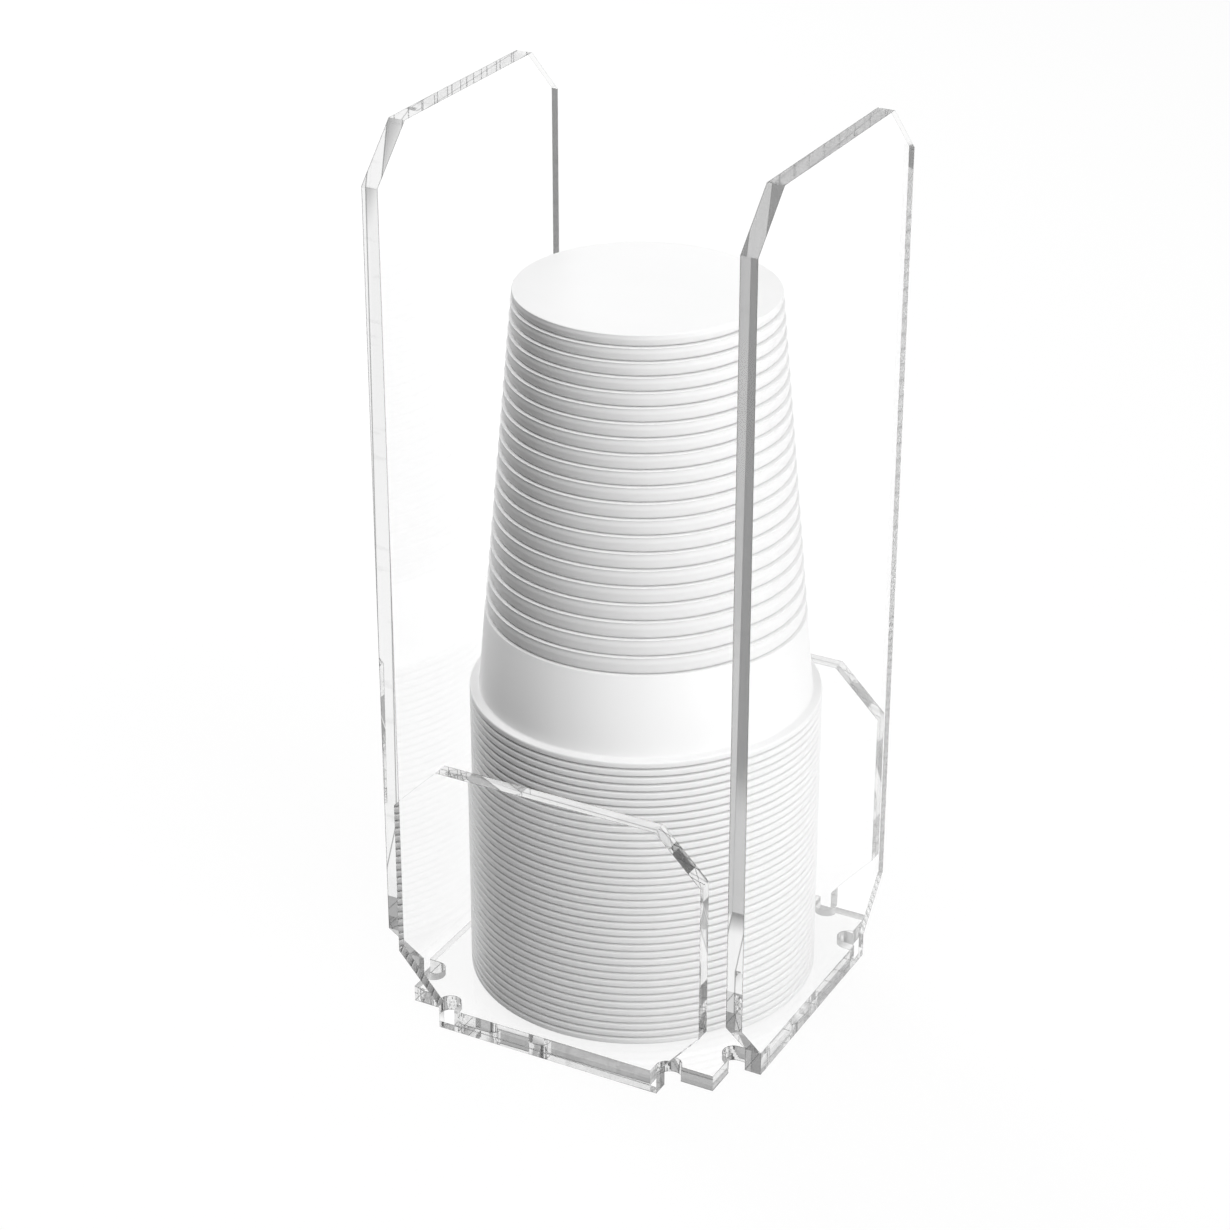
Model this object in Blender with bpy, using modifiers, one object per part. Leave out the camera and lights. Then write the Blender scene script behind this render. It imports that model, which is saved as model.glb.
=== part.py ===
"""Cup holder of clear acrylic sheet with a stack of white disposable cups.

Four upright panels are glued to the ends of four tabs on a square base plate: two tall panels
on the left and right, two short ones at the front and back. The cups stand upside down in the
well between them, nested into each other, and are lifted out from the top.
Metres, +Z up. The origin is the centre of the square that the holder stands on.
"""
import math

import bpy

MM = 0.001

# Acrylic sheet
SHEET = 5.0 * MM
GLUE_GAP = 0.3 * MM

# Room round the cups, and how far the panels and the plate stop short of the corners
CUP_CLEARANCE = 3.5 * MM
CORNER_SETBACK = 4.0 * MM
PLATE_SETBACK = 3.5 * MM

# Panels
TALL_HEIGHT = 265.0 * MM
SHORT_HEIGHT = 85.0 * MM
TALL_TOP_CHAMFER = 14.5 * MM
SHORT_TOP_CHAMFER = 14.0 * MM
FOOT_SETBACK = 13.0 * MM
FOOT_HEIGHT = 7.2 * MM
FOOT_CHAMFER_RISE = 15.1 * MM

# Round reliefs cut in the plate's edge at the roots of its tabs
RELIEF_RADIUS = 3.4 * MM
RELIEF_STEPS = 12

# Cups, upside down
CUP_COUNT = 38
CUP_HEIGHT = 122.0 * MM
RIM_RADIUS = 49.0 * MM
RIM_LEDGE = 2.7 * MM
RIM_PITCH = 2.41 * MM
RIM_GAP = 0.36 * MM
CUP_WALL = 0.11 * MM
NEST_GAP = 0.11 * MM
CUP_FLOOR = 0.5 * MM
SEAT_GAP = 0.3 * MM
CUP_STEPS = 24

# Ribs round the wall of the top cup, which is the only one whose wall shows
RIB_COUNT = 21
RIB_DEPTH = 0.4 * MM
END_BAND = 3.6 * MM
RIB_ZONE = 92.2 * MM
RIB_CURL = 0.9 * MM
RIB_LEDGE = 0.25 * MM
RIB_GROWTH_SHARE = 0.3

SMOOTH_LIMIT = math.radians(35.0)
MERGE_LIMIT = 0.01 * MM

# Sizes that follow from those above
inside_half = RIM_RADIUS + CUP_CLEARANCE
panel_half = inside_half - CORNER_SETBACK
plate_half = inside_half - PLATE_SETBACK
foot_half = panel_half - FOOT_SETBACK
tab_half = foot_half - RELIEF_RADIUS
tab_reach = inside_half - GLUE_GAP
wall_centre = inside_half + SHEET / 2.0
rim_height = RIM_PITCH - RIM_GAP
mouth_radius = RIM_RADIUS - RIM_LEDGE
taper = (CUP_WALL + NEST_GAP) / RIM_PITCH
seat_height = SHEET + SEAT_GAP


def clear_scene():
    for item in list(bpy.data.objects):
        bpy.data.objects.remove(item, do_unlink=True)


def collection_named(name):
    group = bpy.data.collections.new(name)
    bpy.context.scene.collection.children.link(group)
    return group


def plain_material(name, colour, roughness, alpha=1.0, transmission=0.0, ior=1.49):
    material = bpy.data.materials.new(name)
    material.use_nodes = True
    shader = material.node_tree.nodes["Principled BSDF"]
    shader.inputs["Base Color"].default_value = (*colour, 1.0)
    shader.inputs["Roughness"].default_value = roughness
    shader.inputs["Metallic"].default_value = 0.0
    shader.inputs["Alpha"].default_value = alpha
    shader.inputs["Transmission Weight"].default_value = transmission
    shader.inputs["IOR"].default_value = ior
    return material


def acrylic(name):
    return plain_material(name, (0.93, 0.95, 0.96), 0.03, alpha=0.45, transmission=1.0)


def sheet_piece(name, outline, group):
    """A piece cut from the sheet: a closed outline, as thick as the sheet, centred on it."""
    curve = bpy.data.curves.new(name, "CURVE")
    curve.dimensions = "2D"
    curve.fill_mode = "BOTH"
    curve.extrude = SHEET / 2.0
    spline = curve.splines.new("POLY")
    spline.points.add(len(outline) - 1)
    for point, (x, y) in zip(spline.points, outline):
        point.co = (x, y, 0.0, 1.0)
    spline.use_cyclic_u = True
    curve.materials.append(acrylic(name + "_acrylic"))
    piece = bpy.data.objects.new(name, curve)
    group.objects.link(piece)
    return piece


def turned(point, quarter):
    """The point after a number of quarter turns about the origin."""
    x, y = point
    for _ in range(quarter):
        x, y = -y, x
    return x, y


def relief_arc(centre):
    """A half circle cut into the plate's lower edge, passed from -X to +X."""
    angles = [math.pi * (1.0 - step / RELIEF_STEPS) for step in range(RELIEF_STEPS + 1)]
    return [(centre + RELIEF_RADIUS * math.cos(angle),
             -plate_half + RELIEF_RADIUS * math.sin(angle)) for angle in angles]


def plate_outline():
    """A square with a tab on each side, and a round relief on each side of each tab."""
    side = [(-plate_half, -plate_half)]
    side += relief_arc(-foot_half)
    side += [(-tab_half, -tab_reach), (tab_half, -tab_reach)]
    side += relief_arc(foot_half)
    return [turned(point, quarter) for quarter in range(4) for point in side]


def panel_outline(height, top_chamfer):
    """One panel seen face on: a narrower foot, sloped lower corners and cut top corners."""
    half = [
        (foot_half, 0.0),
        (foot_half, FOOT_HEIGHT),
        (panel_half, FOOT_HEIGHT + FOOT_CHAMFER_RISE),
        (panel_half, height - top_chamfer),
        (panel_half - top_chamfer, height),
    ]
    return half + [(-x, y) for x, y in reversed(half)]


def add_base_plate(group):
    plate = sheet_piece("base_plate", plate_outline(), group)
    plate.location = (0.0, 0.0, SHEET / 2.0)
    return plate


def add_panel(name, height, top_chamfer, side_angle, group):
    """Stands a panel on its foot, a quarter turn at a time round the cups."""
    panel = sheet_piece(name, panel_outline(height, top_chamfer), group)
    panel.rotation_euler = (math.pi / 2.0, 0.0, side_angle)
    panel.location = (wall_centre * math.sin(side_angle), -wall_centre * math.cos(side_angle), 0.0)
    return panel


def wall_radius(height):
    """Outer radius of a nested cup's wall at a height above the bottom of its rim."""
    return mouth_radius - RIB_DEPTH - taper * (height - rim_height)


def rib_heights():
    """Heights of the ledges, closer together towards the closed end of the cup."""
    steps = [1.0 + RIB_GROWTH_SHARE * index / (RIB_COUNT - 2) for index in range(RIB_COUNT - 1)]
    scale = RIB_ZONE / sum(steps)
    height = CUP_HEIGHT - END_BAND
    heights = [height]
    for step in steps:
        height -= step * scale
        heights.append(height)
    return heights


def plain_wall():
    """The hidden wall of a nested cup, from its closed end down to its rim."""
    return [(wall_radius(CUP_HEIGHT), CUP_HEIGHT), (wall_radius(rim_height), rim_height)]


def ribbed_wall():
    """The wall of the top cup: bands that curl in to a crease above each ledge."""
    points = [(wall_radius(CUP_HEIGHT) + RIB_DEPTH, CUP_HEIGHT)]
    for height in rib_heights():
        points.append((wall_radius(height + RIB_CURL) + RIB_DEPTH, height + RIB_CURL))
        points.append((wall_radius(height + RIB_LEDGE), height + RIB_LEDGE))
        points.append((wall_radius(height) + RIB_DEPTH, height))
    points.append((wall_radius(rim_height) + RIB_DEPTH, rim_height))
    return points


def cup_profile(wall):
    """Half section of a cup on its rim: closed end, wall, rim, then the inside back up."""
    inside_top = CUP_HEIGHT - CUP_FLOOR
    profile = [(0.0, CUP_HEIGHT)]
    profile += wall
    profile += [(RIM_RADIUS, rim_height), (RIM_RADIUS, 0.0)]
    profile += [(wall_radius(0.0) - CUP_WALL, 0.0), (wall_radius(inside_top) - CUP_WALL, inside_top)]
    profile += [(0.0, inside_top)]
    return profile


def turned_mesh(name, profile, material):
    """Spins a profile about Z into a closed mesh."""
    line = bpy.data.meshes.new(name + "_profile")
    edges = [(index, index + 1) for index in range(len(profile) - 1)]
    line.from_pydata([(radius, 0.0, height) for radius, height in profile], edges, [])
    holder = bpy.data.objects.new(name + "_profile", line)
    bpy.context.scene.collection.objects.link(holder)
    screw = holder.modifiers.new("Turn", "SCREW")
    screw.steps = CUP_STEPS
    screw.render_steps = CUP_STEPS
    screw.use_merge_vertices = True
    screw.merge_threshold = MERGE_LIMIT
    bpy.context.view_layer.update()
    evaluated = holder.evaluated_get(bpy.context.evaluated_depsgraph_get())
    mesh = bpy.data.meshes.new_from_object(evaluated)
    mesh.name = name
    mesh.shade_smooth()
    mesh.set_sharp_from_angle(angle=SMOOTH_LIMIT)
    mesh.materials.append(material)
    bpy.data.objects.remove(holder, do_unlink=True)
    bpy.data.meshes.remove(line)
    return mesh


def add_cups(group):
    """The stack, lowest cup first, and the top cup on it; each rests one pitch higher."""
    white = plain_material("cup_plastic", (0.86, 0.86, 0.86), 0.3)
    nested = turned_mesh("nested_cup", cup_profile(plain_wall()), white)
    ribbed = turned_mesh("ribbed_cup", cup_profile(ribbed_wall()), white)
    for index in range(CUP_COUNT):
        last = index == CUP_COUNT - 1
        name = "top_cup" if last else f"cup_{index + 1:02d}"
        cup = bpy.data.objects.new(name, ribbed if last else nested)
        cup.location = (0.0, 0.0, seat_height + index * RIM_PITCH)
        group.objects.link(cup)


def main():
    clear_scene()
    group = collection_named("cup_holder")
    add_base_plate(group)
    quarter = math.pi / 2.0
    add_panel("front_panel", SHORT_HEIGHT, SHORT_TOP_CHAMFER, 0.0, group)
    add_panel("right_panel", TALL_HEIGHT, TALL_TOP_CHAMFER, quarter, group)
    add_panel("back_panel", SHORT_HEIGHT, SHORT_TOP_CHAMFER, 2.0 * quarter, group)
    add_panel("left_panel", TALL_HEIGHT, TALL_TOP_CHAMFER, 3.0 * quarter, group)
    add_cups(group)


main()
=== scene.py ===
"""Looks of the cup holder: clear acrylic panels with sawn edges round a stack of white cups."""

import math

import bpy
import numpy as np
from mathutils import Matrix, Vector


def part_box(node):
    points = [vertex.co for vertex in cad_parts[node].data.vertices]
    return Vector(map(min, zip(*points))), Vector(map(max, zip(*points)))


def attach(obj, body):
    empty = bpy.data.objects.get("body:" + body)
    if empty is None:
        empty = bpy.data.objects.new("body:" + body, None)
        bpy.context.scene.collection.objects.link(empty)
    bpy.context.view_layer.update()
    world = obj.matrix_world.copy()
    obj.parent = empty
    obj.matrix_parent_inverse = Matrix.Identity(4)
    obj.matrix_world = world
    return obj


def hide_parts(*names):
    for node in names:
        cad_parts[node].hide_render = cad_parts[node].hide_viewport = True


MM = 0.001
CENTIMETRES = 100.0

# Corners of the panels and of the base plate, as the solids have them
TALL_TOP_CHAMFER = 14.5 * MM
SHORT_TOP_CHAMFER = 14.0 * MM
FOOT_SETBACK = 13.0 * MM
FOOT_HEIGHT = 7.2 * MM
FOOT_CHAMFER_RISE = 15.1 * MM
PLATE_SETBACK = 3.5 * MM
RELIEF_RADIUS = 3.4 * MM
RELIEF_STEPS = 24
JOINT_GAP = 0.03 * MM

# Cups, measured up from the bottom of the rim
MOUTH_LEDGE = 2.7 * MM
RIM_GAP = 0.5 * MM
RIM_ROUND = 0.5 * MM
RIM_STEPS = 7
FILLET_OUT = 0.3
FILLET_UP = 0.2
CUP_WALL = 0.10 * MM
NEST_GAP = 0.12 * MM
CUP_FLOOR = 0.5 * MM
END_ROUND = 0.3 * MM
END_STEPS = 5
END_RING = 0.5
SHARP_ANGLE = math.radians(50.0)
SHOWN_STEPS = 256
NESTED_STEPS = 160

# Ribs; the shares are of the way down a rib's band or of its depth
RIB_COUNT = 21
END_BAND = 3.6 * MM
RIB_ZONE = 92.2 * MM
RIB_GROWTH = 0.3
RIB_CURL = 1.6 * MM
RIB_LIP = 0.2 * MM
RIB_LEAN = 0.33
RIB_SWELL = 0.1
RIB_DEPTH = 1.3 * MM
NESTED_RIB_DEPTH = 0.10 * MM
SWELL_END = 0.6
SWELL_HALF_TURNS = 1.5
BAND_START = 0.08
BAND_MIDDLE = 0.55
BAND_POINTS = 6
CLOSING_START = 0.15
LEDGE_START = 0.2
LEDGE_POINTS = 5
# How the painted shade in a rib's curl gathers towards its foot
CURL_SHADE_POWER = 3

# Camera, from the fit to the photograph's 1230 pixel frame
PHOTO_PIXELS = 1230.0
PHOTO_FOCUS_PIXELS = 3214.1
SENSOR = 36.0
CLIP_START = 0.01
CAMERA_AZIMUTH = math.radians(28.0)
CAMERA_ELEVATION = math.radians(26.81)
CAMERA_TARGET = (-8.26 * MM, 0.0, 115.1 * MM)
CAMERA_DISTANCE = 917.7 * MM

# Light stays trapped in the sheets for many bounces, and edges turn black where it is cut short
MAX_BOUNCES = 128
GLOSSY_BOUNCES = 120
TRANSMISSION_BOUNCES = 40

# Lamps: place, size and power
LAMPS = {
    "key_light": ((1.4, -0.45, 0.75), (0.9, 0.9), 16.5),
    "fill_light": ((-1.2, 0.6, 0.5), (0.5, 0.8), 15.0),
    "top_light": ((-0.2, -0.32, 1.6), (0.7, 0.7), 8.8),
}
LAMP_AIM = (0.0, 0.0, 0.12)

# Directions: painted shade darkens the paper under the object along the first
PAPER_ACROSS = (0.883, 0.469, 0.0)
VIEW_AHEAD = (-0.469, 0.883, 0.0)
SHADE_PATCH_ACROSS = (1.0, -0.5, 0.0)
SHADE_PATCH_BEHIND = (1.0, 0.9, 0.0)
RIGHT = (1.0, 0.0, 0.0)
BEHIND = (0.0, 1.0, 0.0)
UP = (0.0, 0.0, 1.0)

# Floor and surround
FLOOR_HALF = 3.0
FLOOR_DEPTH = -0.2 * MM
FLOOR_GLOW = 0.9
FLOOR_ALBEDO = 0.9
FREE_BOUNCES = 2.0
TRAPPED_LOSS = 0.08
SHEET_GAIN = 0.08

# Acrylic
ACRYLIC_IOR = 1.49
ACRYLIC_TINT = 0.995
COVERED_TINT = 0.96
# Dark matte for the cutter's pause lines, for the painted shade at the edges' corners and for the painted
# dark reflection on the right panel's back edge
MARKS_AND_SHADE_TINT = 0.15
SMEAR_SCALE = 22.0
SMEAR_DETAIL = 3.0
SMEAR_POWER = 3.0
SMEAR_ROUGHNESS = 0.02
WAVE_SCALE = (3.0, 0.2, 1.0)
WAVE_DETAIL = 3.0
WAVE_STRENGTH = 0.003
WAVE_DISTANCE = 0.0005

# Cups' plastic
PLASTIC_IOR = 1.5
FLOW_STRETCH = (1.0, 1.0, 0.15)
FLOW_SCALE = 60.0
FLOW_DETAIL = 4.0
FLOW_TINTS = (0.845, 0.875)
FLOW_ROUGHNESS = 0.12
PLASTIC_ROUGHNESS = 0.32
# Painted shade: the grey laid into the curled feet of the ribs
CURL_SHADE_TINT = 0.6
GRAIN_SCALE = 900.0
GRAIN_DETAIL = 2.0
GRAIN_STRENGTH = 0.03
GRAIN_DISTANCE = 0.0002

# Slopes: where each starts and ends, and its value at its start and at its end; lengths in metres
# Painted shade lines at the corners of each cut edge
CORNER_SHADE = (0.02, 0.06, 0.6, 0.0)
PAUSE_DULL = (0.6, 0.66, 0.0, 0.08)
WAVE_ROUGHNESS = (0.3, 0.7, 0.0, 0.01)
# Where the painted dark reflection on the right panel's back edge lies, and how strong it is
BACK_EDGE_SHADE = (0.05, 0.051, 0.0, 0.45)
BACK_EDGE_FRONT = (0.047, 0.0483, 0.0, 1.0)
BACK_EDGE_BACK = (0.05, 0.051, 1.0, 0.0)
# Painted shade: the mirrored paper darkens to its left
PAPER_SHADE = (-0.36, -0.2, 0.08, 0.97)
# Two patches of painted shade in the floor, met only by light trapped in the sheets
RIGHT_SHADE_PATCH = (-0.01, 0.004, 0.0, 0.6)
RIGHT_SHADE_PATCH_START = (0.13, 0.17, 0.0, 1.0)
LEFT_SHADE_PATCH = (-0.19, -0.14, 0.15, 0.0)
LEFT_SHADE_PATCH_START = (0.12, 0.17, 0.0, 1.0)
# Painted shadow under the object, in the floor as the sheets mirror it
FOOTPRINT_SHADOW = (0.045 ** 2, 0.052 ** 2, 0.35, 1.0)
# Painted shade: the floor's paint is darker to its left where it lights the object
LIT_PAPER_SHADE = (-0.15, 0.2, 0.1, 0.85)
MIRRORED_ACROSS = (-0.75, -0.15, 0.1, 0.9)
MIRRORED_AHEAD = (0.3, 0.7, 0.9, 0.4)
STRIPE_START = (0.22, 0.26, 0.0, 0.9)
STRIPE_END = (0.42, 0.46, 1.0, 0.0)
OVERHEAD_CARD = (0.955, 0.975, 0.0, 0.85)
SURROUND_LIGHT = (-0.5, 0.3, 0.06, 0.6)


class Value:
    """A number socket of a node tree; Python's operators on it add Math nodes."""

    def __init__(self, tree, socket):
        self.tree = tree
        self.socket = socket

    def _math(self, operation, first, second=None):
        node = self.tree.nodes.new("ShaderNodeMath")
        node.operation = operation
        for slot, value in zip(node.inputs, (first, second)):
            if isinstance(value, Value):
                self.tree.links.new(value.socket, slot)
            elif value is not None:
                slot.default_value = value
        return Value(self.tree, node.outputs[0])

    def __add__(self, other):
        return self._math("ADD", self, other)

    def __radd__(self, other):
        return self._math("ADD", other, self)

    def __sub__(self, other):
        return self._math("SUBTRACT", self, other)

    def __rsub__(self, other):
        return self._math("SUBTRACT", other, self)

    def __mul__(self, other):
        return self._math("MULTIPLY", self, other)

    def __rmul__(self, other):
        return self._math("MULTIPLY", other, self)

    def larger(self, other):
        return self._math("MAXIMUM", self, other)

    def smaller(self, other):
        return self._math("MINIMUM", self, other)

    def power(self, other):
        return self._math("POWER", self, other)


class Finish:
    """A material, or the world, and the nodes that are added to it."""

    def __init__(self, name, holder=None):
        self.material = holder or bpy.data.materials.new(name)
        self.material.use_nodes = True
        self.tree = self.material.node_tree
        self.tree.nodes.clear()

    def node(self, kind, settings=None, inputs=None):
        """Adds a node, sets it up first, and then gives its sockets values or links."""
        node = self.tree.nodes.new("ShaderNode" + kind)
        for name, value in (settings or {}).items():
            setattr(node, name, value)
        for name, value in (inputs or {}).items():
            socket = node.inputs[name]
            if isinstance(value, Value):
                self.tree.links.new(value.socket, socket)
            elif isinstance(value, bpy.types.NodeSocket):
                self.tree.links.new(value, socket)
            else:
                socket.default_value = value
        return node

    def number(self, node, output=0):
        return Value(self.tree, node.outputs[output])

    def finish(self, shader):
        self.node("OutputMaterial", inputs={"Surface": shader})
        return self.material


def grey(level):
    return (level, level, level, 1.0)


def object_place(finish, scale=(1.0, 1.0, 1.0)):
    place = finish.node("TexCoord").outputs["Object"]
    return finish.node("Mapping", inputs={"Vector": place, "Scale": scale}).outputs[0]


def slope(finish, value, start, end, low, high):
    """A smooth change from low, where value is start, to high, where value is end."""
    node = finish.node("MapRange", {"interpolation_type": "SMOOTHSTEP"}, {
        "Value": value, "From Min": start, "From Max": end, "To Min": low, "To Max": high,
    })
    return finish.number(node)


def along(finish, place, way):
    """How far a point lies along a way, or how much of a direction does."""
    node = finish.node("VectorMath", {"operation": "DOT_PRODUCT"}, {0: place, 1: way})
    return finish.number(node, "Value")


def noise(finish, place, scale, detail):
    return finish.node("TexNoise", inputs={"Vector": place, "Scale": scale, "Detail": detail})


def polished(finish, roughness, inputs=None):
    """The sheet itself: it refracts, and lets light pass straight on to what it covers."""
    sheet = finish.node("BsdfPrincipled", inputs={
        "Base Color": grey(ACRYLIC_TINT),
        "Roughness": roughness,
        "IOR": ACRYLIC_IOR,
        "Transmission Weight": 1.0,
        **(inputs or {}),
    })
    passing = finish.node("BsdfTransparent", inputs={"Color": grey(COVERED_TINT)})
    path = finish.node("LightPath")
    unseen = finish.number(path, "Is Shadow Ray").larger(finish.number(path, "Is Diffuse Ray"))
    return finish.node("MixShader", inputs={0: unseen, 1: sheet.outputs[0], 2: passing.outputs[0]})


def clear_acrylic():
    """The faces, with faint smears."""
    finish = Finish("clear_acrylic")
    smears = finish.number(noise(finish, object_place(finish), SMEAR_SCALE, SMEAR_DETAIL))
    return finish.finish(polished(finish, smears.power(SMEAR_POWER) * SMEAR_ROUGHNESS).outputs[0])


def sawn_edge():
    """The cut edges: clear, but less flat than the faces, with faint waves. What darkens them is the
    largest of three: a few lines across the sheet where the cutter paused, a line of painted shade at
    each corner, and a painted dark reflection on the back edge of the right panel."""
    finish = Finish("sawn_edge")
    sawn = finish.node("UVMap", {"uv_map": "edge"}).outputs[0]
    drawn = finish.node("Mapping", inputs={"Vector": sawn, "Scale": WAVE_SCALE})
    waves = finish.number(noise(finish, drawn.outputs[0], 1.0, WAVE_DETAIL))
    bump = finish.node("Bump", inputs={
        "Height": waves, "Strength": WAVE_STRENGTH, "Distance": WAVE_DISTANCE,
    })
    across = finish.number(finish.node("SeparateXYZ", inputs={"Vector": sawn}), "Y")
    # Painted shade: a dark line along each corner of the edge
    corner = slope(finish, across.smaller(1.0 - across), *CORNER_SHADE)
    pause = slope(finish, waves, *PAUSE_DULL)
    place = object_place(finish)
    right = along(finish, place, RIGHT)
    behind = along(finish, place, BEHIND)
    # Painted dark reflection on the right panel's back edge, standing for the shaded cups it mirrors
    back = slope(finish, right, *BACK_EDGE_SHADE)
    back = back * slope(finish, behind, *BACK_EDGE_FRONT) * slope(finish, behind, *BACK_EDGE_BACK)
    # Dark matte for the cutter's marks, the painted corner shade and the painted back-edge reflection
    marks_and_shade = finish.node("BsdfDiffuse", inputs={"Color": grey(MARKS_AND_SHADE_TINT)})
    clear = polished(finish, slope(finish, waves, *WAVE_ROUGHNESS), {"Normal": bump.outputs[0]})
    return finish.finish(finish.node("MixShader", inputs={
        0: pause.larger(corner).larger(back), 1: clear.outputs[0], 2: marks_and_shade.outputs[0],
    }).outputs[0])


def cup_plastic():
    """White moulded plastic with a soft gloss and a faint flow pattern, with painted shade in the curled
    feet of the ribs. The mesh's UVs of the painted shade say where, from 0 to 1."""
    finish = Finish("cup_plastic")
    flow = noise(finish, object_place(finish, FLOW_STRETCH), FLOW_SCALE, FLOW_DETAIL)
    tone = finish.node("Mix", {"data_type": "RGBA"}, {
        "Factor": finish.number(flow),
        "A": grey(FLOW_TINTS[0]),
        "B": grey(FLOW_TINTS[1]),
    })
    # Painted shade in the ribs' curls, by its share in the mesh's UVs
    place = finish.node("UVMap", {"uv_map": "curl_shade"}).outputs[0]
    curl_shade = finish.node("Mix", {"data_type": "RGBA"}, {
        "Factor": finish.number(finish.node("SeparateXYZ", inputs={"Vector": place})),
        "A": tone.outputs["Result"],
        "B": grey(CURL_SHADE_TINT),
    })
    grain = finish.number(noise(finish, object_place(finish), GRAIN_SCALE, GRAIN_DETAIL))
    bump = finish.node("Bump", inputs={
        "Height": grain, "Strength": GRAIN_STRENGTH, "Distance": GRAIN_DISTANCE,
    })
    plastic = finish.node("BsdfPrincipled", inputs={
        "Base Color": curl_shade.outputs["Result"],
        "Roughness": finish.number(flow) * FLOW_ROUGHNESS + PLASTIC_ROUGHNESS,
        "IOR": PLASTIC_IOR,
        "Normal": bump.outputs[0],
    })
    return finish.finish(plastic.outputs[0])


def new_piece(name, mesh, node, body):
    """Puts a finished mesh in the scene in place of a CAD node, riding on the node's body."""
    piece = bpy.data.objects.new(name, mesh)
    bpy.context.scene.collection.objects.link(piece)
    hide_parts(node)
    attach(piece, body)
    return piece


def sheet_mesh(name, outline, thickness, stand):
    """A cut sheet: the outline at both faces, joined by the cut edge's faces; stand turns it from
    flat to its place. The edge faces come first, with UVs that hold the centimetres along the outline
    and the share of the way across the sheet."""
    count = len(outline)
    rings = [np.column_stack([outline, np.full(count, z)]) for z in (thickness / 2.0, -thickness / 2.0)]
    index = np.arange(count)
    follow = np.roll(index, -1)
    edges = np.stack([index, index + count, follow + count, follow], axis=1)
    mesh = bpy.data.meshes.new(name)
    faces = [index.tolist(), (index[::-1] + count).tolist()]
    mesh.from_pydata(stand(np.concatenate(rings)).tolist(), [], edges.tolist() + faces)
    lengths = np.linalg.norm(np.roll(outline, -1, axis=0) - outline, axis=1)
    way = np.concatenate([[0.0], np.cumsum(lengths)]) * CENTIMETRES
    uv = np.zeros((len(mesh.loops), 2), np.float32)
    edge_uv = uv[: edges.size].reshape(count, 4, 2)
    edge_uv[:, :2, 0] = way[:-1, None]
    edge_uv[:, 2:, 0] = way[1:, None]
    edge_uv[:, 1:3, 1] = 1.0
    mesh.uv_layers.new(name="edge").data.foreach_set("uv", uv.ravel())
    mesh.materials.append(ACRYLIC)
    mesh.materials.append(EDGE)
    is_edge = np.zeros(len(mesh.polygons), np.int32)
    is_edge[:count] = 1
    mesh.polygons.foreach_set("material_index", is_edge)
    return mesh


def panel_outline(half_width, height, top_chamfer):
    """A panel seen face on, anticlockwise from the right of its foot."""
    foot = half_width - FOOT_SETBACK
    right = np.array([
        (foot, 0.0),
        (foot, FOOT_HEIGHT),
        (half_width, FOOT_HEIGHT + FOOT_CHAMFER_RISE),
        (half_width, height - top_chamfer),
        (half_width - top_chamfer, height),
    ])
    left = right[::-1] * (-1.0, 1.0)
    return np.concatenate([right, left])


def add_panel(node, top_chamfer, axis):
    """A panel in its CAD node's box; axis is 0 where it faces left or right, 1 front or back."""
    low, high = (np.array(corner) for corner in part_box(node))
    wide = 1 - axis
    outline = panel_outline(high[wide], high[2], top_chamfer)
    centre = (low[axis] + high[axis]) / 2.0

    def stand(flat):
        placed = np.empty_like(flat)
        placed[:, wide] = flat[:, 0]
        placed[:, 2] = flat[:, 1]
        placed[:, axis] = centre + (flat[:, 2] if axis == 0 else -flat[:, 2])
        return placed

    mesh = sheet_mesh(node + "_sheet", outline, high[axis] - low[axis], stand)
    new_piece(node + "_sheet", mesh, node, "holder")


def plate_outline(reach, plate_half, foot_half):
    """The square plate: along each side a corner, a round relief, a tab and another relief."""
    angles = np.linspace(math.pi, 0.0, RELIEF_STEPS + 1)
    relief = RELIEF_RADIUS * np.column_stack([np.cos(angles), np.sin(angles)])
    tab = foot_half - RELIEF_RADIUS
    side = np.concatenate([
        [(-plate_half, -plate_half)],
        relief + (-foot_half, -plate_half),
        [(-tab, -reach), (tab, -reach)],
        relief + (foot_half, -plate_half),
    ])
    turns = [side]
    for _ in range(3):
        side = np.column_stack([-side[:, 1], side[:, 0]])
        turns.append(side)
    return np.concatenate(turns)


def add_base_plate():
    """The base plate, its tabs reaching to just short of the panels."""
    low, high = (np.array(corner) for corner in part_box("base_plate"))
    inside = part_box("right_panel")[0][0]
    panel_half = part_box("front_panel")[1][0]
    outline = plate_outline(inside - JOINT_GAP, inside - PLATE_SETBACK, panel_half - FOOT_SETBACK)
    centre = (low[2] + high[2]) / 2.0
    mesh = sheet_mesh("base_plate_sheet", outline, high[2] - low[2], lambda flat: flat + (0.0, 0.0, centre))
    new_piece("base_plate_sheet", mesh, "base_plate", "holder")


def arc(centre, radius, start, end, steps):
    """Points on an arc: the centre plus the radius times an angle's cosine and sine, for angles
    spaced evenly from one in degrees to another."""
    angles = np.radians(np.linspace(start, end, steps))
    return np.column_stack([centre[0] + radius * np.cos(angles), centre[1] + radius * np.sin(angles)])


def plain(points):
    """Points of a section without painted shade."""
    return np.column_stack([points, np.zeros(len(points))])


def band_shares():
    """Where a rib's points lie, as shares of the way down its band: evenly spaced to the middle, and
    then closer and closer together down to its foot."""
    even = np.linspace(BAND_START, BAND_MIDDLE, BAND_POINTS)
    closing = np.sin(np.linspace(CLOSING_START, math.pi / 2.0, BAND_POINTS))
    return np.concatenate([even, BAND_MIDDLE + (1.0 - BAND_MIDDLE) * closing])


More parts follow.
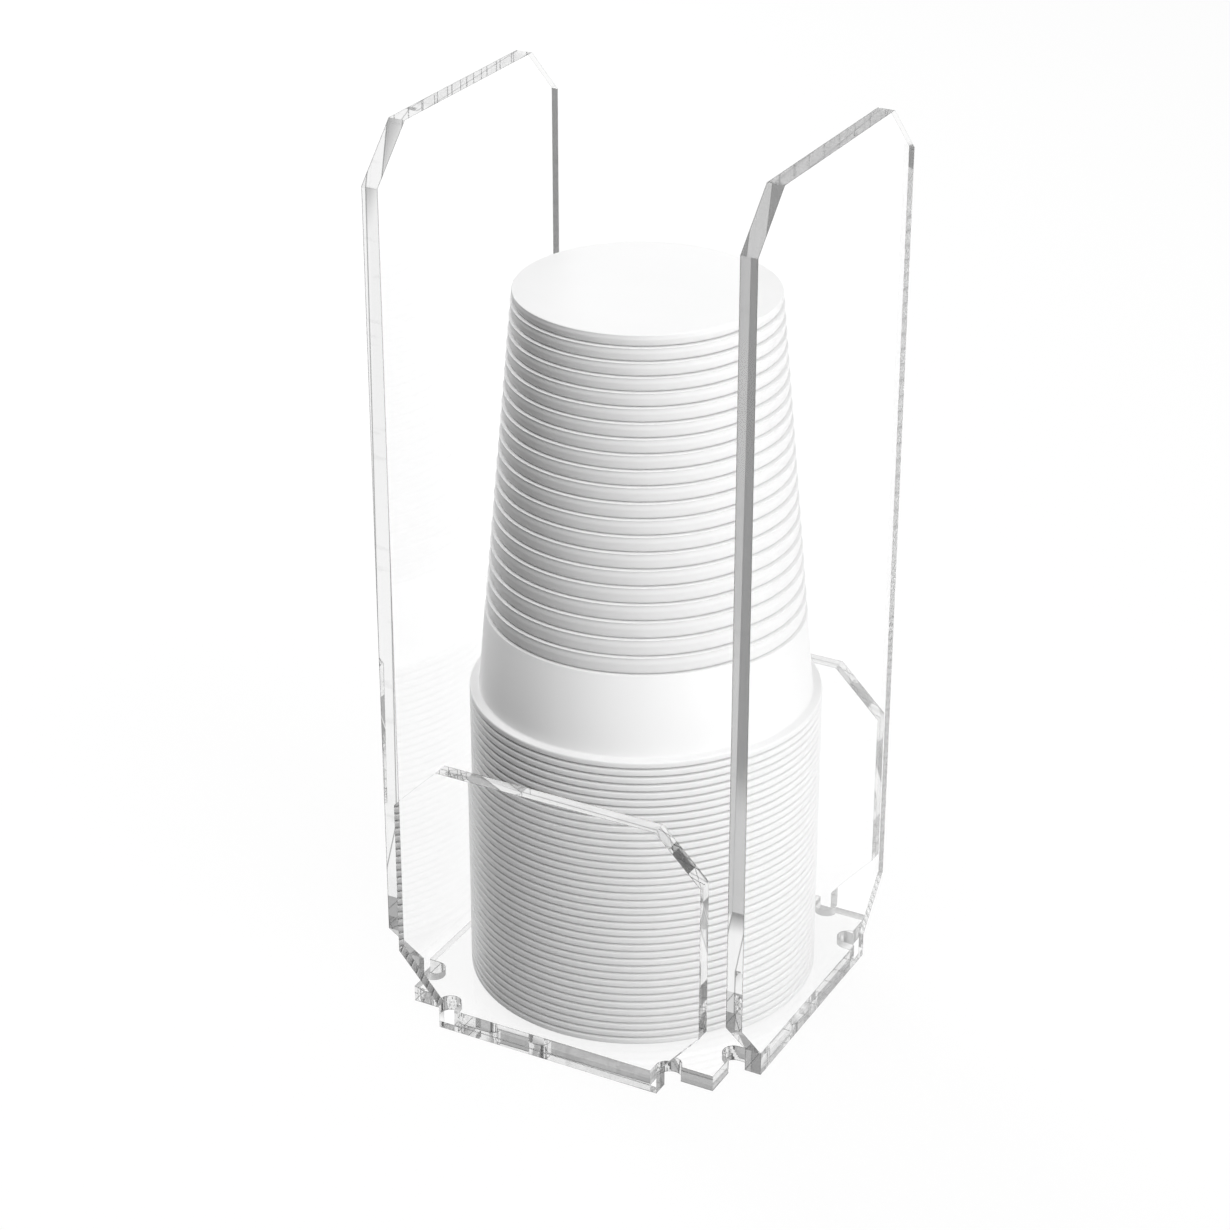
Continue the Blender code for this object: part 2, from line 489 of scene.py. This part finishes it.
class CupShape:
    """The sizes that a cup's section is drawn from; heights are above the bottom of its rim. The rim
    is a pitch less the gap. The mouth is the radius less the ledge and a rib's depth, and the wall
    tapers by its thickness and the nesting gap for each pitch."""

    def __init__(self, height, radius, pitch):
        self.height = height
        self.radius = radius
        self.rim = pitch - RIM_GAP
        self.mouth = radius - MOUTH_LEDGE - RIB_DEPTH
        self.taper = (CUP_WALL + NEST_GAP) / pitch

    def wall(self, height):
        """The wall's radius: the mouth's, less the taper for each length above the rim."""
        return self.mouth - self.taper * (height - self.rim)

    def ledges(self):
        """Heights of the ledges; the bands between them grow evenly towards the rim."""
        bands = 1.0 + RIB_GROWTH * np.linspace(0.0, 1.0, RIB_COUNT - 1)
        below = np.concatenate([[0.0], np.cumsum(bands)]) / bands.sum()
        return self.height - END_BAND - RIB_ZONE * below

    def ribs(self, depth):
        """The ribbed wall, top to bottom: radius, height, and the share of painted shade, which gathers in
        the curl. A band stands out by the depth less what it leans in. Along it a wave adds its swell:
        inward at the top, outward at its crest, and nothing from the swell's end on. In the curl at its
        foot it turns in to the wall along a quarter of an ellipse, and another leads out over the
        ledge's lip to the next band."""
        ledges = self.ledges()
        uppers = np.concatenate([[self.height], ledges[:-1]])
        share = band_shares()
        proud = depth * (1.0 - RIB_LEAN * share)
        wave = np.clip(share / SWELL_END, 0.0, 1.0) * math.pi * SWELL_HALF_TURNS - math.pi / 2.0
        swell = RIB_SWELL * depth * np.sin(wave)
        turn = np.linspace(LEDGE_START, 1.0, LEDGE_POINTS) * math.pi / 2.0
        parts = []
        for upper, ledge in zip(uppers, ledges):
            down = upper + (ledge + RIB_LIP - upper) * share
            curl = np.clip((down - ledge - RIB_LIP) / RIB_CURL, 0.0, 1.0)
            out = self.wall(down) + proud + swell - proud[-1] * (1.0 - np.sqrt(1.0 - (1.0 - curl) ** 2))
            # The third column is the share of painted shade, strongest at the foot of the curl
            parts.append(np.column_stack([out, down, (1.0 - curl) ** CURL_SHADE_POWER]))
            out = self.wall(ledge) + depth * (1.0 + RIB_SWELL) * np.sin(turn)
            parts.append(plain(np.column_stack([out, ledge + RIB_LIP * np.cos(turn)])))
        return np.concatenate(parts)

    def section(self, depth, ribbed):
        """Half section from the middle of the closed end, down the wall, round the rim, up inside:
        radius, height, and the share of painted shade, from 0 to 1."""
        top, skin = self.height, self.wall(self.height) + depth
        inner_top = top - CUP_FLOOR
        rim_top, outer = self.rim, self.radius - RIM_ROUND
        fillet, inner = self.wall(rim_top) + depth, self.wall(0.0) - CUP_WALL
        out, rise = RIM_ROUND * FILLET_OUT, RIM_ROUND * FILLET_UP
        return np.concatenate([
            plain([(0.0, top), (skin * END_RING, top)]),
            plain(arc((skin - END_ROUND, top - END_ROUND), END_ROUND, 90.0, 0.0, END_STEPS)),
            self.ribs(depth) if ribbed else np.empty((0, 3)),
            plain([(self.wall(rim_top + RIM_ROUND) + depth, rim_top + RIM_ROUND)]),
            plain([(fillet + out, rim_top + rise), (fillet + RIM_ROUND, rim_top)]),
            plain(arc((outer, rim_top - RIM_ROUND), RIM_ROUND, 90.0, 0.0, RIM_STEPS)),
            plain(arc((outer, RIM_ROUND), RIM_ROUND, 0.0, -90.0, RIM_STEPS)),
            plain([(inner + out, 0.0), (inner, out)]),
            plain([(self.wall(inner_top) - CUP_WALL, inner_top), (0.0, inner_top)]),
        ])


def turned_mesh(name, section, steps, lift):
    """A section turned about Z: the grid of its points by steps round, closed at both poles."""
    angles = np.arange(steps) * (2.0 * math.pi / steps)
    rings = section[1:-1]
    around = np.empty((len(rings), steps, 3))
    around[..., 0] = rings[:, 0, None] * np.cos(angles)
    around[..., 1] = rings[:, 0, None] * np.sin(angles)
    around[..., 2] = rings[:, 1, None] + lift
    poles = [(0.0, 0.0, section[0, 1] + lift), (0.0, 0.0, section[-1, 1] + lift)]
    points = np.concatenate([around.reshape(-1, 3), poles])
    grid = np.arange(len(rings) * steps).reshape(len(rings), steps)
    follow = np.roll(grid, -1, axis=1)
    walls = np.stack([grid[:-1], grid[1:], follow[1:], follow[:-1]], axis=-1).reshape(-1, 4)
    first, last = len(points) - 2, len(points) - 1
    caps = [(first, a, b) for a, b in zip(grid[0], follow[0])]
    caps += [(last, b, a) for a, b in zip(grid[-1], follow[-1])]
    mesh = bpy.data.meshes.new(name)
    mesh.from_pydata(points.tolist(), [], walls.tolist() + [tuple(map(int, cap)) for cap in caps])
    uv = np.zeros((len(mesh.loops), 2), np.float32)
    # The UVs' first value holds the share of painted shade
    curl_shade = uv[: walls.size].reshape(len(rings) - 1, steps, 4, 2)
    curl_shade[..., (0, 3), 0] = rings[:-1, 2, None, None]
    curl_shade[..., (1, 2), 0] = rings[1:, 2, None, None]
    mesh.uv_layers.new(name="curl_shade").data.foreach_set("uv", uv.ravel())
    mesh.shade_smooth()
    mesh.set_sharp_from_angle(angle=SHARP_ANGLE)
    mesh.materials.append(PLASTIC)
    return mesh


def add_cups(nodes):
    """The nested cups and the ribbed top cup, each at its CAD node's height. Of the nested cups only
    the last has ribs, which come into view when the top cup is lifted."""
    nested = sorted(name for name in nodes if name.startswith("cup_"))
    low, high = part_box("top_cup")
    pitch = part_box(nested[1])[0][2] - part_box(nested[0])[0][2]
    shape = CupShape(high[2] - low[2], high[0], pitch)
    for node in nested:
        section = shape.section(NESTED_RIB_DEPTH, node == nested[-1])
        mesh = turned_mesh(node + "_shell", section, NESTED_STEPS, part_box(node)[0][2])
        new_piece(node + "_shell", mesh, node, "cup_stack")
    mesh = turned_mesh("top_cup_shell", shape.section(RIB_DEPTH, True), SHOWN_STEPS, low[2])
    new_piece("top_cup_shell", mesh, "top_cup", "top_cup")


class Rays:
    """Which kind of ray meets the floor or the world, each as 0 or 1: lighting a surface, through the
    sheets, mirrored inside them, and trapped in them after more than the free bounces. Seen is all
    that isn't mirrored, and a little over white through a sheet, to hide the faces' reflections."""

    def __init__(self, finish):
        path = finish.node("LightPath")
        self.lighting = finish.number(path, "Diffuse Depth").smaller(1.0)
        self.through = finish.number(path, "Transmission Depth").smaller(1.0)
        bounces = finish.number(path, "Glossy Depth")
        self.mirrored = self.through * bounces.smaller(1.0) * (1.0 - self.lighting)
        self.trapped = (bounces - FREE_BOUNCES).larger(0.0).smaller(1.0)
        self.seen = (1.0 - self.mirrored) * (1.0 + self.through * SHEET_GAIN)


def floor_material():
    """Pale floor that takes shadows. Seen directly or through the sheets it is nearly white. Mirrored
    inside the sheets it is white paper, darkened to its left by painted shade and with a painted shadow
    under the object. Light that was trapped in a sheet is also weaker, and meets two patches of painted
    shade, a grey one behind on the right and a faint one on the left. As a source of light the floor is
    darker to its left, painted shade in its paint. The share of white paint in black paint is how pale
    it is."""
    finish = Finish("pale_floor")
    place = object_place(finish)
    rays = Rays(finish)
    across = along(finish, place, PAPER_ACROSS)
    behind = along(finish, place, BEHIND)
    # Painted shade darkening the mirrored paper to its left
    paper = slope(finish, across, *PAPER_SHADE)
    # Two patches of painted shade, met only by light trapped in the sheets
    patch_across = along(finish, place, SHADE_PATCH_ACROSS)
    far = along(finish, place, SHADE_PATCH_BEHIND)
    right_shade_patch = slope(finish, patch_across, *RIGHT_SHADE_PATCH) * slope(finish, behind, *RIGHT_SHADE_PATCH_START)
    left_shade_patch = slope(finish, patch_across, *LEFT_SHADE_PATCH) * slope(finish, far, *LEFT_SHADE_PATCH_START)
    weaker = 1.0 - rays.trapped * (right_shade_patch + left_shade_patch + TRAPPED_LOSS)
    sides = [along(finish, place, way) for way in (RIGHT, BEHIND)]
    reach = (sides[0] * sides[0]).larger(sides[1] * sides[1])
    # Painted shadow under the object
    weaker = weaker * slope(finish, reach, *FOOTPRINT_SHADOW)
    level = rays.seen + rays.mirrored * paper * weaker
    tint = finish.node("CombineColor", inputs={"Red": level, "Green": level, "Blue": level})
    glow = finish.node("Emission", inputs={"Color": tint.outputs[0]})
    unlit = 1.0 - rays.lighting
    # Painted shade: as a source of light the floor's paint is darker to its left
    albedo = slope(finish, across, *LIT_PAPER_SHADE) * rays.lighting + FLOOR_ALBEDO * unlit
    black = finish.node("BsdfDiffuse", inputs={"Color": grey(0.0)})
    white = finish.node("BsdfDiffuse", inputs={"Color": grey(1.0)})
    lit = finish.node("MixShader", inputs={0: albedo, 1: black.outputs[0], 2: white.outputs[0]})
    mixed = finish.node("MixShader", inputs={
        0: unlit * FLOOR_GLOW, 1: lit.outputs[0], 2: glow.outputs[0],
    })
    return finish.finish(mixed.outputs[0])


def add_floor():
    """A wide square just under the object."""
    corners = [(-1, -1), (1, -1), (1, 1), (-1, 1)]
    mesh = bpy.data.meshes.new("floor")
    mesh.from_pydata([(x * FLOOR_HALF, y * FLOOR_HALF, FLOOR_DEPTH) for x, y in corners], [], [(0, 1, 2, 3)])
    mesh.materials.append(floor_material())
    floor = bpy.data.objects.new("floor", mesh)
    bpy.context.scene.collection.objects.link(floor)


def add_light(name, place, size, power):
    """An area lamp that lights surfaces, but isn't seen in or through the sheets."""
    lamp = bpy.data.lights.new(name, "AREA")
    lamp.shape = "RECTANGLE"
    lamp.size, lamp.size_y = size
    lamp.energy = power
    light = bpy.data.objects.new(name, lamp)
    light.location = place
    light.visible_glossy = False
    light.visible_transmission = False
    light.rotation_euler = (Vector(LAMP_AIM) - Vector(place)).to_track_quat("-Z", "Y").to_euler()
    bpy.context.scene.collection.objects.link(light)


def light_scene():
    """A soft key from the right, a fill from the left, an overhead light and a white surround. Where
    the sheets mirror it, the surround is the smaller of two slopes, dark to the left and greyer
    ahead, less the larger of a dark stripe at either side and a card overhead. As a source of light
    its left is weak."""
    for name, (place, size, power) in LAMPS.items():
        add_light(name, place, size, power)
    world = bpy.data.worlds.new("studio")
    bpy.context.scene.world = world
    finish = Finish("studio", world)
    way = finish.node("TexCoord").outputs["Generated"]
    across = along(finish, way, PAPER_ACROSS)
    ahead = along(finish, way, VIEW_AHEAD)
    rays = Rays(finish)
    mirror = slope(finish, across, *MIRRORED_ACROSS).smaller(slope(finish, ahead, *MIRRORED_AHEAD))
    side = across.larger(0.0 - across)
    stripe = slope(finish, side, *STRIPE_START) * slope(finish, side, *STRIPE_END)
    overhead = slope(finish, along(finish, way, UP), *OVERHEAD_CARD)
    mirror = rays.mirrored * (mirror * (1.0 - stripe.larger(overhead)))
    seen = rays.seen * (1.0 - rays.lighting)
    glow = finish.node("Background", inputs={
        "Color": grey(1.0),
        "Strength": seen + mirror + rays.lighting * slope(finish, across, *SURROUND_LIGHT),
    })
    finish.node("OutputWorld", inputs={"Surface": glow.outputs[0]})


def add_camera():
    """The photograph's view: azimuth turns right from the front, elevation up from level."""
    data = bpy.data.cameras.new("camera")
    data.sensor_width = SENSOR
    data.lens = SENSOR * PHOTO_FOCUS_PIXELS / PHOTO_PIXELS
    data.clip_start = CLIP_START
    camera = bpy.data.objects.new("camera", data)
    level = math.cos(CAMERA_ELEVATION)
    back = Vector((
        math.sin(CAMERA_AZIMUTH) * level,
        -math.cos(CAMERA_AZIMUTH) * level,
        math.sin(CAMERA_ELEVATION),
    ))
    camera.location = Vector(CAMERA_TARGET) + back * CAMERA_DISTANCE
    camera.rotation_euler = (-back).to_track_quat("-Z", "Y").to_euler()
    bpy.context.scene.collection.objects.link(camera)
    bpy.context.scene.camera = camera


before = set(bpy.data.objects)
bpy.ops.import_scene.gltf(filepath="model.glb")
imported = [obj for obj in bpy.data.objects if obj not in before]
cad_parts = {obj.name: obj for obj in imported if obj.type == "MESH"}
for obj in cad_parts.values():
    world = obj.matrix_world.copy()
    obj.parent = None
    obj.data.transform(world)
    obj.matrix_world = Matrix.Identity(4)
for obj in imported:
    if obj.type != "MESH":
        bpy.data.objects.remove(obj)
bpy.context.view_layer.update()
bpy.context.scene.view_settings.view_transform = "Standard"
bpy.context.scene.cycles.max_bounces = MAX_BOUNCES
bpy.context.scene.cycles.glossy_bounces = GLOSSY_BOUNCES
bpy.context.scene.cycles.transmission_bounces = TRANSMISSION_BOUNCES

ACRYLIC = clear_acrylic()
EDGE = sawn_edge()
PLASTIC = cup_plastic()

add_base_plate()
add_panel("left_panel", TALL_TOP_CHAMFER, 0)
add_panel("right_panel", TALL_TOP_CHAMFER, 0)
add_panel("front_panel", SHORT_TOP_CHAMFER, 1)
add_panel("back_panel", SHORT_TOP_CHAMFER, 1)
add_cups(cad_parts)
add_floor()
light_scene()
add_camera()
